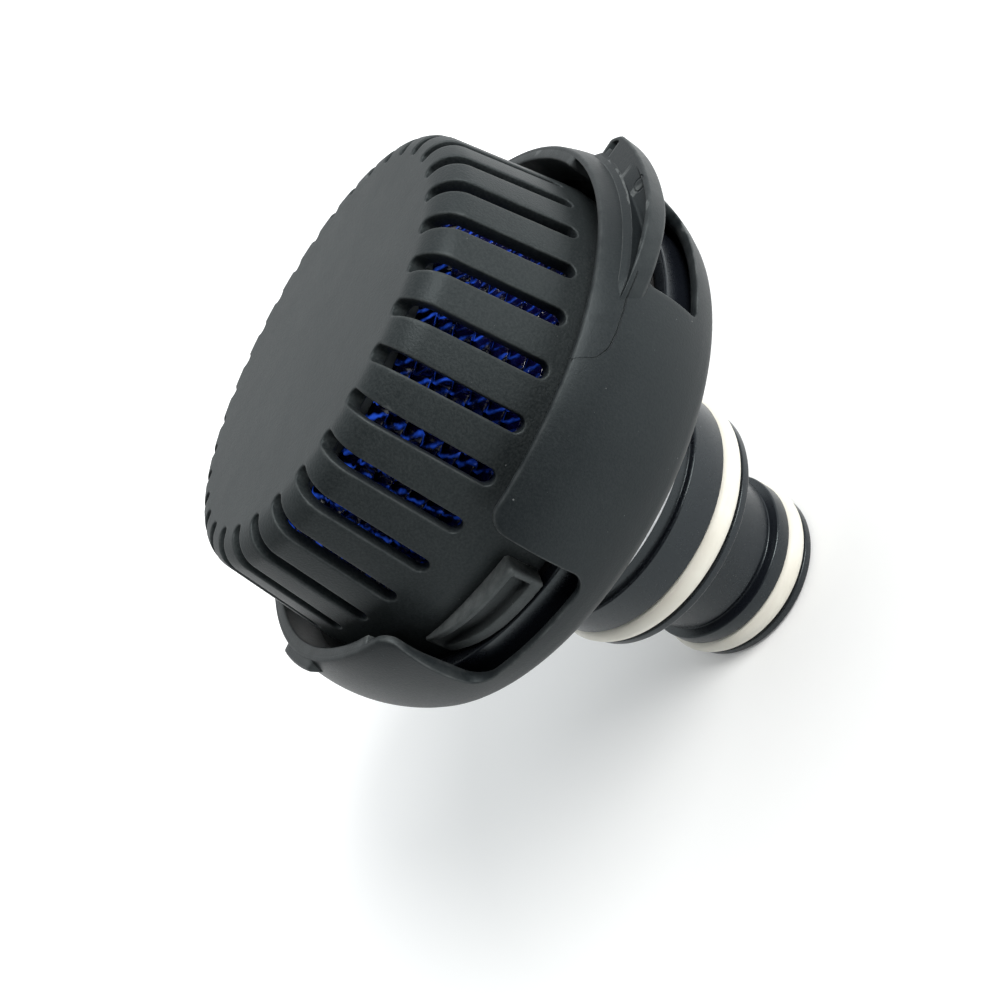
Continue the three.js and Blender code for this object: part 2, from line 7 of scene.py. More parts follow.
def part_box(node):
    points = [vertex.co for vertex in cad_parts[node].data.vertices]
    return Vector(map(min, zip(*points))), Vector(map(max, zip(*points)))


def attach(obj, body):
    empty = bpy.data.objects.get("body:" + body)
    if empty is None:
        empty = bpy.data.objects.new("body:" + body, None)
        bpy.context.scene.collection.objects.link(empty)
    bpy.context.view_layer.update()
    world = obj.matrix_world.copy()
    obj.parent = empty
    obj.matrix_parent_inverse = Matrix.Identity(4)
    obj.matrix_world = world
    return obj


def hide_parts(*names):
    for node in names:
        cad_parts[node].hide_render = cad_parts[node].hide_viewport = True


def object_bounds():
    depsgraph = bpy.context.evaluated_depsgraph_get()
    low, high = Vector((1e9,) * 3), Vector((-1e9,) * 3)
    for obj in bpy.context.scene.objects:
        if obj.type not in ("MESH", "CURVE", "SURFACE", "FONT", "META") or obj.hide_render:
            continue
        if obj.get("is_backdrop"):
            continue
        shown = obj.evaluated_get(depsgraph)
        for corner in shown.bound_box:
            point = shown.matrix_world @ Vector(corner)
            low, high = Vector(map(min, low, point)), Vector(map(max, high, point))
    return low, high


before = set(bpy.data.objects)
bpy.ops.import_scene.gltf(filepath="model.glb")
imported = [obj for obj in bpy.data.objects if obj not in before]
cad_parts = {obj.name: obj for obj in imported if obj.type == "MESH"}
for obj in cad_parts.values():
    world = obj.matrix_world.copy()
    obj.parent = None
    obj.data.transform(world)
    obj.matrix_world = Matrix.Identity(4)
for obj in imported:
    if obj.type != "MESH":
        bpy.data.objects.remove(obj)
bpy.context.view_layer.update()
mm = 0.001
print("strainer: frame loaded,", len(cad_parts), "nodes")


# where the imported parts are, in millimetres
def span(node):
    low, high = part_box(node)
    return low.z / mm, high.z / mm


def reach(node):
    low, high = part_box(node)
    return high.y / mm


zLip, zRim = span("lock_collar")
zSkirt, zFront = span("strainer_cage")
zRingLow = span("filter_ring_1")[0]
zRingHigh = span("filter_ring_8")[1]


# An outline from corners (r, z, fillet): each corner becomes an arc that touches both of its sides.
# The tangent length is fillet * tan(turn / 2), kept under 0.48 of the shorter side.
def rounded(corners, closed=True, perCorner=5):
    pts = np.array([[c[0], c[1]] for c in corners], float)
    radii = [c[2] if len(c) > 2 else 0.0 for c in corners]
    count = len(pts)
    out = []
    for k in range(count):
        if not closed and k in (0, count - 1):
            out.append(pts[k][None])
            continue
        p, before, after = pts[k], pts[k - 1], pts[(k + 1) % count]
        d0, d1 = before - p, after - p
        l0, l1 = np.hypot(*d0), np.hypot(*d1)
        if radii[k] <= 0 or min(l0, l1) < 1e-6:
            out.append(np.repeat(p[None], perCorner, 0) if radii[k] < 0 else p[None])
            continue
        u0, u1 = d0 / l0, d1 / l1
        between = np.arccos(np.clip(u0 @ u1, -1, 1))
        cut = min(radii[k] / np.tan(between / 2), 0.48 * l0, 0.48 * l1)
        a, b = p + u0 * cut, p + u1 * cut
        t = np.linspace(0, 1, perCorner)[:, None]
        # a quarter-like arc written as a rational curve, exact for a circle
        w = np.sin(between / 2)
        first, middle, last = (1 - t) ** 2, 2 * w * t * (1 - t), t ** 2
        out.append((first * a + middle * p + last * b) / (first + middle + last))
    return np.concatenate(out)


# The points of a polyline at equal steps of its own length.
def evenly(points, count):
    length = np.concatenate([[0], np.cumsum(np.hypot(*np.diff(points, axis=0).T))])
    at = np.linspace(0, length[-1], count)
    return np.stack([np.interp(at, length, points[:, 0]), np.interp(at, length, points[:, 1])], -1)


# x = r cos(angle), y = r sin(angle), for arrays of r, angle in degrees, and z.
def polar(r, angle, z):
    a = np.radians(angle)
    r, a, z = np.broadcast_arrays(r, a, z)
    return np.stack([r * np.cos(a), r * np.sin(a), z], -1)


# A closed outline turned once round the axis.
def turned(outline, sides, first=0.0):
    angle = first + np.arange(sides) * 360 / sides
    return polar(outline[:, :1], angle[None], outline[:, 1:]), True, True


# Closed sections (n, m, 2) of r and z set round the axis at n angles, with both ends closed to a point.
def carried(sections, angles):
    ring = polar(sections[..., 0], angles[:, None], sections[..., 1])
    middle = ring.mean(axis=1, keepdims=True).repeat(ring.shape[1], 1)
    return np.concatenate([middle[:1], ring, middle[-1:]]), False, True


# Quads between the rows and columns of a grid of points.
def quads(rows, cols, closeRows, closeCols):
    i = np.arange(rows if closeRows else rows - 1)[:, None]
    j = np.arange(cols if closeCols else cols - 1)[None]
    i2, j2 = (i + 1) % rows, (j + 1) % cols
    return np.stack([i * cols + j, i * cols + j2, i2 * cols + j2, i2 * cols + j], -1).reshape(-1, 4)


# One mesh piece from several grids: they are welded where they meet, and the faces are turned outwards.
def piece(name, sheets, material, body, replaced=()):
    points, faces, offset = [], [], 0
    for grid, closeRows, closeCols in sheets:
        rows, cols = grid.shape[:2]
        points.append(grid.reshape(-1, 3) * mm)
        faces.append(quads(rows, cols, closeRows, closeCols) + offset)
        offset += rows * cols
    points, faces = np.concatenate(points), np.concatenate(faces)
    mesh = bpy.data.meshes.new(name)
    mesh.vertices.add(len(points))
    mesh.vertices.foreach_set("co", points.ravel())
    mesh.loops.add(faces.size)
    mesh.loops.foreach_set("vertex_index", faces.ravel())
    mesh.polygons.add(len(faces))
    mesh.polygons.foreach_set("loop_start", np.arange(len(faces)) * 4)
    mesh.update(calc_edges=True)
    work = bmesh.new()
    work.from_mesh(mesh)
    bmesh.ops.remove_doubles(work, verts=work.verts, dist=2e-6)
    bmesh.ops.dissolve_degenerate(work, edges=work.edges, dist=1e-7)
    bmesh.ops.recalc_face_normals(work, faces=work.faces)
    openEdges = sum(1 for e in work.edges if not e.is_manifold)
    work.to_mesh(mesh)
    work.free()
    mesh.polygons.foreach_set("use_smooth", np.ones(len(mesh.polygons), bool))
    mesh.materials.append(material)
    obj = bpy.data.objects.new(name, mesh)
    bpy.context.scene.collection.objects.link(obj)
    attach(obj, body)
    if replaced:
        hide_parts(*replaced)
    if openEdges:
        print("strainer:", name, "has", openEdges, "open edges")
    return obj


def newMaterial(name):
    m = bpy.data.materials.new(name)
    m.use_nodes = True
    tree = m.node_tree
    shader = next(n for n in tree.nodes if n.type == "BSDF_PRINCIPLED")
    where = tree.nodes.new("ShaderNodeTexCoord").outputs["Object"]
    return m, tree, shader, where


def noise(tree, where, scale, detail=3.0, rough=0.55):
    n = tree.nodes.new("ShaderNodeTexNoise")
    n.inputs["Scale"].default_value = scale
    n.inputs["Detail"].default_value = detail
    n.inputs["Roughness"].default_value = rough
    tree.links.new(where, n.inputs["Vector"])
    return n.outputs["Fac"]


def spread(tree, value, low, high, toLow, toHigh):
    n = tree.nodes.new("ShaderNodeMapRange")
    n.inputs["From Min"].default_value = low
    n.inputs["From Max"].default_value = high
    n.inputs["To Min"].default_value = toLow
    n.inputs["To Max"].default_value = toHigh
    tree.links.new(value, n.inputs["Value"])
    return n.outputs["Result"]


def calc(tree, kind, a, b=None, c=None):
    n = tree.nodes.new("ShaderNodeMath")
    n.operation = kind
    for slotIn, v in zip(n.inputs, (a, b, c)):
        if v is None:
            continue
        if isinstance(v, (int, float)):
            slotIn.default_value = v
        else:
            tree.links.new(v, slotIn)
    return n.outputs[0]


def blendColour(tree, factor, first, second):
    n = tree.nodes.new("ShaderNodeMix")
    n.data_type = "RGBA"
    for slotIn, v in ((n.inputs[0], factor), (n.inputs[6], first), (n.inputs[7], second)):
        if isinstance(v, tuple):
            slotIn.default_value = (*v, 1)
        else:
            tree.links.new(v, slotIn)
    return n.outputs[2]


def bumped(tree, shader, layers):
    normal = None
    for height, strength, distance in layers:
        b = tree.nodes.new("ShaderNodeBump")
        b.inputs["Strength"].default_value = strength
        b.inputs["Distance"].default_value = distance
        tree.links.new(height, b.inputs["Height"])
        if normal is not None:
            tree.links.new(normal, b.inputs["Normal"])
        normal = b.outputs["Normal"]
    tree.links.new(normal, shader.inputs["Normal"])


# Black moulded plastic: cloudy tone, fine grain, pale edges that are partly scuffing and partly painted edge
# highlight, a few dust specks.
def mouldedPlastic(name, look, extra=None):
    m, tree, shader, where = newMaterial(name)
    cloud = noise(tree, where, look["cloudScale"], 4)
    grain = noise(tree, where, look["grainScale"], 2, 0.6)
    base = blendColour(tree, spread(tree, cloud, 0.3, 0.7, 0, 1), look["dark"], look["light"])
    base = blendColour(tree, spread(tree, grain, 0.35, 0.7, 0, look["speckle"]), base, look["scuffAndHighlight"])
    edge = tree.nodes.new("ShaderNodeNewGeometry").outputs["Pointiness"]
    edge = spread(tree, edge, look["edgeFrom"], look["edgeTo"], 0, look["edgeWearAndHighlight"])
    if look.get("edgeLinesAbove"):  # the pale edge lines, partly wear and partly painted highlight, only show above this height
        parts = tree.nodes.new("ShaderNodeSeparateXYZ")
        tree.links.new(where, parts.inputs[0])
        fromZ, toZ = (look["edgeLinesAbove"] - 1) * mm, (look["edgeLinesAbove"] + 1) * mm
        above = spread(tree, parts.outputs[2], fromZ, toZ, 0, 1)
        edge = calc(tree, "MULTIPLY", edge, above)
    # painted highlight: the pale edge mask stands partly for scuffing and partly for light caught along the
    # edges
    wearAndHighlight = calc(tree, "MULTIPLY", edge, spread(tree, noise(tree, where, 420, 3), 0.35, 0.65, 0.25, 1))
    base = blendColour(tree, wearAndHighlight, base, look["scuffAndHighlight"])
    speck = spread(tree, noise(tree, where, 1500, 1), 0.80, 0.84, 0, look["specks"])
    base = blendColour(tree, speck, base, (0.30, 0.31, 0.31))
    tree.links.new(base, shader.inputs["Base Color"])
    tone = spread(tree, noise(tree, where, look["cloudScale"] * 2.3, 3), 0.3, 0.7, -0.012, 0.012)
    rough = look["roughness"]
    tone = calc(tree, "ADD", tone, spread(tree, grain, 0.3, 0.7, rough - 0.04, rough + 0.04))
    tree.links.new(tone, shader.inputs["Roughness"])
    shader.inputs["Specular IOR Level"].default_value = look["shine"]
    shader.inputs["Specular Tint"].default_value = (0.86, 0.97, 1.0, 1)
    layers = [(noise(tree, where, 120, 2), 0.012, 0.0002), (grain, look["grain"], 0.00008)]
    if extra:
        layers += extra(tree, where)
    bumped(tree, shader, layers)
    return m


def rubber(name, colour, shade, roughness):
    m, tree, shader, where = newMaterial(name)
    base = blendColour(tree, spread(tree, noise(tree, where, 160, 4), 0.35, 0.7, 0, 1), colour, shade)
    tree.links.new(base, shader.inputs["Base Color"])
    tree.links.new(spread(tree, noise(tree, where, 900, 2), 0.3, 0.7, roughness - 0.06, roughness + 0.08),
                   shader.inputs["Roughness"])
    shader.inputs["Subsurface Weight"].default_value = 0.0
    bumped(tree, shader, [(noise(tree, where, 1400, 2), 0.15, 0.00005)])
    return m


# Blue filter plastic with slanted ribs on both flanks of each ring, which meet in a point at its rim; the
# ribs carry painted glints that fade to painted shade towards the back, and a faint painted glow.
# Along a ring, way runs 0 to 1 once per tooth; across it, flank is 0 at the rim and 1 in the groove;
# a rib lies where flank = 1 - way.
def bluePlastic(name, look):
    m, tree, shader, where = newMaterial(name)
    parts = tree.nodes.new("ShaderNodeSeparateXYZ")
    tree.links.new(where, parts.inputs[0])
    x, y, z = parts.outputs
    around = calc(tree, "MULTIPLY", calc(tree, "ARCTAN2", y, x), look["teeth"] / (2 * np.pi))
    wander = spread(tree, noise(tree, where, 330, 2), 0.3, 0.7, -0.22, 0.22)
    shifted = calc(tree, "ADD", around, 200.0 + look["toothPhase"])
    way = calc(tree, "FRACT", calc(tree, "ADD", shifted, wander))
    pitch = (zRingHigh - zRingLow + 0.05) / 8 * mm
    stack = calc(tree, "DIVIDE", calc(tree, "SUBTRACT", z, zRingLow * mm), pitch)
    twice = calc(tree, "MULTIPLY", calc(tree, "FRACT", stack), 2.0)
    flank = calc(tree, "ABSOLUTE", calc(tree, "SUBTRACT", twice, 1.0))
    off = calc(tree, "ABSOLUTE", calc(tree, "SUBTRACT", calc(tree, "ADD", flank, way), 1.0))
    # painted highlight: the ribs are coloured bright blue, standing for glints of light on them
    rib = spread(tree, off, 0.05, 0.24, 1, 0)
    patch = spread(tree, noise(tree, where, 420, 3), 0.42, 0.66, 0.05, 1)
    # painted shade: the painted glints grow dimmer towards the back of the stack, away from the light coming
    # in at the front
    front = calc(tree, "POWER", spread(tree, stack, 0.0, 8.0, look["paintedBackShade"], 1), 1.6)
    paintedGlint = calc(tree, "MULTIPLY", calc(tree, "MULTIPLY", rib, patch), front)
    cloud = spread(tree, noise(tree, where, 260, 3), 0.35, 0.65, 0, 1)
    base = blendColour(tree, cloud, look["deep"], look["violet"])
    base = blendColour(tree, paintedGlint, base, look["glintBlue"])
    tree.links.new(base, shader.inputs["Base Color"])
    rough = look["roughness"]
    tree.links.new(spread(tree, noise(tree, where, 700, 2), 0.3, 0.7, rough, rough + 0.16),
                   shader.inputs["Roughness"])
    shader.inputs["Specular IOR Level"].default_value = 0.7
    shader.inputs["Coat Weight"].default_value = 0.5
    shader.inputs["Coat Roughness"].default_value = 0.08
    # painted glow: the ribs emit a little blue light of their own, so they stay a little bright inside the
    # shaded cage
    shader.inputs["Emission Color"].default_value = (*look["carried"], 1)
    tree.links.new(calc(tree, "MULTIPLY", paintedGlint, look["paintedGlowStrength"]), shader.inputs["Emission Strength"])
    bumped(tree, shader, [(rib, 1.0, 0.0005), (noise(tree, where, 500, 2), 0.3, 0.0002)])
    return m


# Drawn steel: one fine noise mixes two greys and bumps the surface.
def drawnSteel(name):
    m, tree, shader, where = newMaterial(name)
    streak = noise(tree, where, 1800, 2)
    base = blendColour(tree, spread(tree, streak, 0.3, 0.7, 0, 1), (0.42, 0.43, 0.45), (0.62, 0.63, 0.65))
    tree.links.new(base, shader.inputs["Base Color"])
    tree.links.new(spread(tree, noise(tree, where, 500, 3), 0.3, 0.7, 0.22, 0.42), shader.inputs["Roughness"])
    shader.inputs["Metallic"].default_value = 1.0
    bumped(tree, shader, [(streak, 0.2, 0.00004)])
    return m


cageLook = dict(dark=(0.0075, 0.0100, 0.0110), light=(0.0120, 0.0150, 0.0160), scuffAndHighlight=(0.12, 0.13, 0.13),
                roughness=0.52, shine=0.27, grain=0.8, grainScale=2600, cloudScale=70, speckle=0.10,
                edgeFrom=0.515, edgeTo=0.58, edgeWearAndHighlight=0.55, specks=0.35)
collarLook = dict(dark=(0.0060, 0.0080, 0.0095), light=(0.0095, 0.0120, 0.0135), scuffAndHighlight=(0.13, 0.14, 0.14),
                  roughness=0.47, shine=0.25, grain=0.4, grainScale=2600, cloudScale=55, speckle=0.04,
                  edgeFrom=0.515, edgeTo=0.57, edgeWearAndHighlight=0.8, specks=0.35, edgeLinesAbove=66.5)
bodyLook = dict(dark=(0.0045, 0.0055, 0.0085), light=(0.007, 0.0085, 0.012), scuffAndHighlight=(0.10, 0.10, 0.11),
                roughness=0.30, shine=0.5, grain=0.12, grainScale=2200, cloudScale=60, speckle=0.0,
                edgeFrom=0.54, edgeTo=0.64, edgeWearAndHighlight=0.3, specks=0.2)
# painted highlight: the lugs get a lighter base and stronger pale edges, standing for the light they catch
highlitLugLook = dict(cageLook, dark=(0.030, 0.034, 0.035), light=(0.045, 0.050, 0.051), edgeWearAndHighlight=0.9)
innerLook = dict(bodyLook, roughness=0.45, grain=0.3)
blueLook = dict(deep=(0.002, 0.0025, 0.03), violet=(0.005, 0.003, 0.055), glintBlue=(0.03, 0.12, 1.0),
                roughness=0.10, teeth=96, toothPhase=0.45, paintedBackShade=0.32,
                # carried is the colour of the painted glow on the ribs
                carried=(0.03, 0.13, 0.95), paintedGlowStrength=0.5)

cagePlastic = mouldedPlastic("cage plastic", cageLook)
highlitLugPlastic = mouldedPlastic("highlit lug plastic", highlitLugLook)
bodyPlastic = mouldedPlastic("spigot plastic", bodyLook)
innerPlastic = mouldedPlastic("core plastic", innerLook)
ivoryRubber = rubber("ivory rubber", (0.80, 0.78, 0.70), (0.74, 0.715, 0.63), 0.48)
blackRubber = rubber("black rubber", (0.012, 0.012, 0.013), (0.02, 0.02, 0.021), 0.62)
ringPlastic = bluePlastic("blue ring plastic", blueLook)
springSteel = drawnSteel("spring steel")
print("strainer: finishes made")


# the strainer cage, in millimetres
cage = dict(rimRadius=44.6, frontRadius=40.2, corner=5.5, wall=2.5, skirtRadius=45.6, skirtInner=41.4,
            slots=32, slotWidth=2.7, tipRadius=35.2, endAboveRim=-0.3, phase=2.0, edge=0.32,
            acrossSteps=6, alongSteps=40, turnSteps=12, lugRadius=49.2, lugBelowRim=8.3, lugHeight=6.4,
            lugArc=28.8, lugFrame=1.0, lugFoot=2.0, lugCentres=(("front", -125.0), ("back", 55.0)),
            pocket=1.9, sealGroove=1.6, sealDepth=2.3, sealHeight=2.6)
cageSlope = np.arctan2(cage["rimRadius"] - cage["frontRadius"], zFront - zRim)
cornerTurn = np.pi / 2 - cageSlope
flatRadius = cage["frontRadius"] - cage["corner"] * np.tan(cornerTurn / 2)
arcLength = cage["corner"] * cornerTurn


# Radius, height and outward direction of the cage's outside at a distance s from its centre:
# flat, then a corner arc, then a straight side that leans outwards by the cage's slope.
def cageSkin(s):
    turn = np.clip((s - flatRadius) / cage["corner"], 0, cornerTurn)
    beyond = np.clip(s - flatRadius - arcLength, 0, None)
    r = np.minimum(s, flatRadius) + cage["corner"] * np.sin(turn) + beyond * np.sin(cageSlope)
    z = zFront - cage["corner"] * (1 - np.cos(turn)) - beyond * np.cos(cageSlope)
    return r, z, np.sin(turn), np.cos(turn)


def cageDistance(z):
    cornerDrop = cage["corner"] * (1 - np.cos(cornerTurn))
    return flatRadius + arcLength + (zFront - cornerDrop - z) / np.cos(cageSlope)


# Grid round one slot. Each ring runs once round the slot; the rings start on the sector's edges,
# close in on the slot's outline, roll over its rounded edge, go through the wall and open out again.
def slotSector(centre, tipS, endS, topS, lowS):
    half, e, wall = cage["slotWidth"] / 2, cage["edge"], cage["wall"]
    side = 180 / cage["slots"]
    k = cage["turnSteps"]
    alongS = np.linspace(tipS + half, endS - half, cage["alongSteps"] + 1)
    psi = np.linspace(0, np.pi, k + 1)[1:-1]
    q = k // 4
    across = np.linspace(side, -side, k - 2 * q + 1)
    edgeS = np.concatenate([np.linspace(endS - half, lowS, q + 1)[1:], np.full(k - 2 * q - 1, lowS),
                            np.linspace(lowS, endS - half, q + 1)[:-1]])
    edgeA = np.concatenate([np.full(q, side), across[1:-1], np.full(q, -side)])
    tipEdgeS = np.concatenate([np.linspace(tipS + half, topS, q + 1)[1:], np.full(k - 2 * q - 1, topS),
                               np.linspace(topS, tipS + half, q + 1)[:-1]])
    frameS = np.concatenate([alongS, edgeS, alongS[::-1], tipEdgeS])
    frameA = np.concatenate([np.full(len(alongS), side), edgeA, np.full(len(alongS), -side), -edgeA])

    def outline(offset):
        w = half + offset
        straight = np.full(len(alongS), w)
        s = np.concatenate([alongS, endS - half + w * np.sin(psi), alongS[::-1],
                            tipS + half - w * np.sin(psi)])
        u = np.concatenate([straight, w * np.cos(psi), -straight, -w * np.cos(psi)])
        return s, u

    rolls = np.linspace(0, np.pi / 2, 4)
    rows = [(t, e, 0.0) for t in (0, 0.32, 0.6, 0.82)]
    rows += [(1, e * (1 - np.sin(a)), e * (1 - np.cos(a))) for a in rolls]
    rows += [(1, 0.0, wall / 2)]
    rows += [(1, e * (1 - np.cos(a)), wall - e * (1 - np.sin(a))) for a in rolls]
    rows += [(t, e, wall) for t in (0.6, 0)]
    grid = []
    for t, offset, depth in rows:
        s, u = outline(offset)
        s = (1 - t) * frameS + t * s
        r, z, nr, nz = cageSkin(s)
        r, z = r - depth * nr, z - depth * nz
        angle = (1 - t) * frameA + t * np.degrees(np.arcsin(u / r))
        grid.append(polar(r, centre + angle, z))
    return np.array(grid), False, True


def cageShell():
    half = cage["slotWidth"] / 2
    tipS = cage["tipRadius"]
    endS = cageDistance(zRim + cage["endAboveRim"])
    topS, lowS = tipS - 1.6, endS + 2.0
    pitch = 360 / cage["slots"]
    sheets = [slotSector(cage["phase"] + i * pitch, tipS, endS, topS, lowS) for i in range(cage["slots"])]
    columns = cage["slots"] * cage["acrossSteps"]
    angles = cage["phase"] - pitch / 2 + np.arange(columns) * 360 / columns
    s = np.concatenate([[0, 1.5], np.linspace(5, topS, 8)])
    r, z, nr, nz = cageSkin(s)
    sheets.append((polar(r[:, None], angles[None], z[:, None]), False, True))
    sheets.append((polar(r[:, None], angles[None], z[:, None] - cage["wall"]), False, True))
    r, z, nr, nz = cageSkin(np.array([lowS]))
    zMeet = zRim - (cage["skirtRadius"] - cage["rimRadius"]) / np.tan(cageSlope)
    zGroove = zSkirt + cage["sealGroove"]
    groove = cage["skirtRadius"] - cage["sealDepth"]
    zStep = zRim - cage["lugBelowRim"] - 1.0
    outline = rounded([
        (r[0], z[0]),
        (cage["skirtRadius"], zMeet, 2.0),
        (cage["skirtRadius"], zGroove + cage["sealHeight"], 0.25),
        (groove, zGroove + cage["sealHeight"], 0.25),
        (groove, zGroove, 0.25),
        (cage["skirtRadius"], zGroove, 0.25),
        (cage["skirtRadius"], zSkirt, 0.4),
        (cage["skirtInner"], zSkirt, 0.4),
        (cage["skirtInner"], zStep, 1.0),
        (r[0] - cage["wall"] * nr[0], z[0] - cage["wall"] * nz[0]),
    ], closed=False)
    sheets.append((polar(outline[:, :1], angles[None], outline[:, 1:]), False, True))
    return sheets


# 0 to 1 with a level start and end: t * t * (3 - 2t).
def smooth(t):
    t = np.clip(t, 0, 1)
    return t * t * (3 - 2 * t)


# Bayonet lug: a closed section set along a short arc. The pocket in its face grows from nothing
# at the ends, as a smooth step of the distance from the end.
def lugSections(centre):
    top = zRim - cage["lugBelowRim"]
    low = top - cage["lugHeight"]
    arc = cage["lugArc"]
    ends = np.array([0, 0.15, 0.5, 1.2, 1.9])
    turn = np.concatenate([ends, np.linspace(2.3, arc - 2.3, 26), arc - ends[::-1]])
    fromEnd = np.minimum(turn, arc - turn)
    depth = cage["pocket"] * smooth((fromEnd - 1.3) / 0.9)
    inset = 0.45 * (1 - np.clip(fromEnd / 0.6, 0, 1)) ** 2
    base, bar, foot = cage["skirtRadius"] - 0.5, cage["lugFrame"], cage["lugFoot"]
    # the lug swells from almost nothing at its leading end, as the sine of the way along
    swell = 0.12 + 0.88 * np.sin(np.clip(turn / (arc * 0.8), 0, 1) * np.pi / 2)
    faces = cage["skirtRadius"] + (cage["lugRadius"] - cage["skirtRadius"]) * swell
    lugTops = top - 1.2 * (1 - swell)
    depth = np.minimum(depth, faces - base - 0.6)
    sections = [rounded([
        (base, up - i), (face - i, up - i, 0.35),
        (face - i, up - bar, 0.25), (face - i - d - 0.01, up - bar - 0.12, 0.25),
        (face - i - d - 0.01, low + foot + 0.12, 0.25), (face - i, low + foot, 0.25),
        (face - i, low + i, 0.35), (base, low + i)], closed=False, perCorner=4)
        for d, i, face, up in zip(depth, inset, faces, lugTops)]
    return carried(np.array(sections), centre - arc / 2 + turn)


piece("cage_shell", cageShell(), cagePlastic, "cage", ["strainer_cage"])
for side, centre in cage["lugCentres"]:
    piece("cage_lug_" + side, [lugSections(centre)], highlitLugPlastic, "cage")
print("strainer: cage made")


# the lock collar; heights are measured down from its rim
collar = dict(radius=53.0, rimRadius=50.3, bulgeBelowRim=12.0, bowlBelowRim=24.0, channelRadius=50.0,
              rimInner=49.4, innerFrom=7.5, baseBelowRim=20.8, windowWidth=26.5, windowBelowRim=18.3,
              bridge=8.0, notchCorner=3.2, rimCorner=3.0, windowCorner=1.1,
              notches=(-120.0, 60.0), windows=(-42.0, 138.0), edge=0.3,
              chart=51.5, rows=18, margin=9.0, lipRadius=27.6, lipHeight=2.4, coneRadius=33.6, wall=2.6,
              innerEdge=1.4, bowlFillet=9.0, plainStep=1.5, ledgeRadius=47.9, ledgeHeight=7.5,
              thickRim=((-19.0, 38.6), (161.0, 218.6)), stopRadius=50.6,
              stops=((15.5, 17.9), (-49.5, -45.5)))  # from a notch's middle, in degrees
sag = collar["radius"] - collar["rimRadius"]
bulgeArc = (collar["bulgeBelowRim"] ** 2 + sag ** 2) / (2 * sag)
bulgeCentre = collar["radius"] - bulgeArc


# Outer radius of the collar above its bowl: one arc about a point inside, at the bulge's height.
def collarOuter(z):
    return bulgeCentre + np.sqrt(bulgeArc ** 2 - (z - zRim + collar["bulgeBelowRim"]) ** 2)


# Inner radius: a straight channel that leans in towards the rim.
def collarInner(z):
    up = np.clip((z - (zRim - collar["innerFrom"])) / collar["innerFrom"], 0, 1)
    return collar["channelRadius"] - (collar["channelRadius"] - collar["rimInner"]) * up


# Radius of the inner edge of an opening: small at the thin rim, wide further down.
def innerEdge(z):
    return collar["edge"] + (collar["innerEdge"] - collar["edge"]) * smooth((zRim - z) / 6)


def collarPoint(angle, z, depth, fromInside=False):
    r = collarInner(z) + depth if fromInside else collarOuter(z) - depth
    return polar(r, angle, z)


# Columns from a level base line up to an edge line and down the inside again. Each column is straight
# on the unrolled wall; the edge line is first moved into the wall by the edge's radius, then rolled over.
def edgeColumns(centre, baseX, edgeLine):
    e = collar["edge"]
    zBase = zRim - collar["baseBelowRim"]
    tangent = np.gradient(edgeLine, axis=0)
    tangent /= np.hypot(*tangent.T)[:, None]
    inward = np.stack([tangent[:, 1], -tangent[:, 0]], -1)
    toDegrees = 180 / np.pi / collar["chart"]

    def at(offset):
        return edgeLine + inward * np.reshape(offset, (-1, 1))

    soft = innerEdge(edgeLine[:, 1])
    rows = []
    for t in np.linspace(0, 1, collar["rows"] + 1):
        x, z = (1 - t) * baseX + t * at(e)[:, 0], (1 - t) * zBase + t * at(e)[:, 1]
        rows.append(collarPoint(centre + x * toDegrees, z, 0))
    for a in np.linspace(0, np.pi / 2, 4)[1:]:
        x, z = at(e * (1 - np.sin(a))).T
        rows.append(collarPoint(centre + x * toDegrees, z, e * (1 - np.cos(a))))
    for a in np.linspace(0, np.pi / 2, 5):
        x, z = at(soft * (1 - np.cos(a))).T
        rows.append(collarPoint(centre + x * toDegrees, z, soft * (1 - np.sin(a)), True))
    for t in np.linspace(1, 0, collar["rows"] + 1)[1:]:
        x, z = (1 - t) * baseX + t * at(soft)[:, 0], (1 - t) * zBase + t * at(soft)[:, 1]
        rows.append(collarPoint(centre + x * toDegrees, z, 0, True))
    return np.array(rows), False, False


def plainColumns(fromAngle, toAngle):
    count = int(np.ceil((toAngle - fromAngle) / collar["plainStep"])) + 1
    middle = (fromAngle + toAngle) / 2
    x = np.radians(np.linspace(fromAngle, toAngle, count) - middle) * collar["chart"]
    line = np.stack([x, np.full(count, zRim)], -1)
    return edgeColumns(middle, x, line), middle + np.degrees(x / collar["chart"])


# Notch open at the rim: a line along the rim, round a corner, down, across and up again.
def notchColumns(centre):
    half = collar["windowWidth"] / 2
    outer = half + collar["margin"]
    zLow = zRim - collar["windowBelowRim"]
    c, top = collar["notchCorner"], collar["rimCorner"]
    zHalf = (zRim + zLow) / 2
    left = rounded([(-outer, zRim), (-half, zRim, top), (-half, zHalf)], closed=False, perCorner=9)
    lower = rounded([(-half, zHalf), (-half, zLow, c), (0, zLow)], closed=False, perCorner=11)
    rim = evenly(left[:2], 6)
    corner = left[1:10]
    side = evenly(np.array([left[9], lower[1]]), 12)
    turn = lower[1:12]
    floor = evenly(lower[-2:], 9)
    line = np.concatenate([rim, corner[1:], side[1:], turn[1:], floor[1:]])
    marks = np.cumsum([0, len(rim) - 1, len(corner) - 1, len(side) - 1, len(turn) - 1, len(floor) - 1])
    places = np.array([-outer, -outer + 3.2, -outer + 4.8, -half - 1.4, -half + c, 0])
    base = np.interp(np.arange(len(line)), marks, places)
    line = np.concatenate([line, (line * [-1, 1])[::-1][1:]])
    base = np.concatenate([base, -base[::-1][1:]])
    return edgeColumns(centre, base, line), centre + np.degrees(base / collar["chart"])


